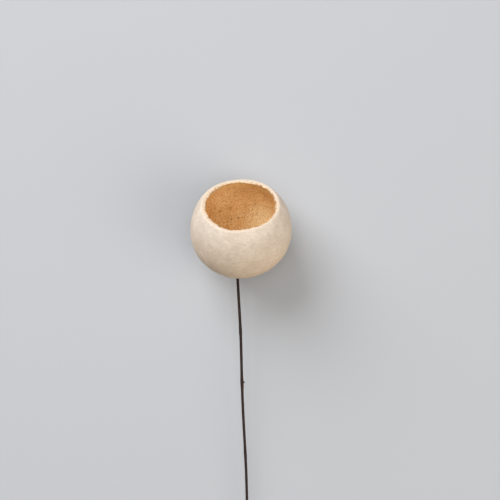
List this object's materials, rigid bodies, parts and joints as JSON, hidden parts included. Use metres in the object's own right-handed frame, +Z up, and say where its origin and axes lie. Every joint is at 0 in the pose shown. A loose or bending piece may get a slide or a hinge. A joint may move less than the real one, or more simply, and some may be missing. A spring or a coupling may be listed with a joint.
{
  "type": "bell cup pod",
  "caption": "Bleached round bell cup pod with a hollow brown inside and a wide sawn mouth, on a thin bark-covered stick, lying on a table.",
  "frame": {"origin": "on the table, at the middle of the small worn flat that the pod rests on", "axes": "+Z up; the stick runs from the pod towards -Y along the table; the mouth faces up and towards +Y; +X to the right of someone who looks along +Y"},
  "size_m": [0.0667, 0.3516, 0.0647],
  "materials": {
    "bleached_shell": "matte, bleached and sanded outside, brown cork inside",
    "bark": "dark bark with lighter scars",
    "dried_glue": "dull gloss"
  },
  "bodies": {
    "root": {"pod_cup": "bleached_shell", "stick": "bark", "glue_bead": "dried_glue"}
  },
  "joints": []
}
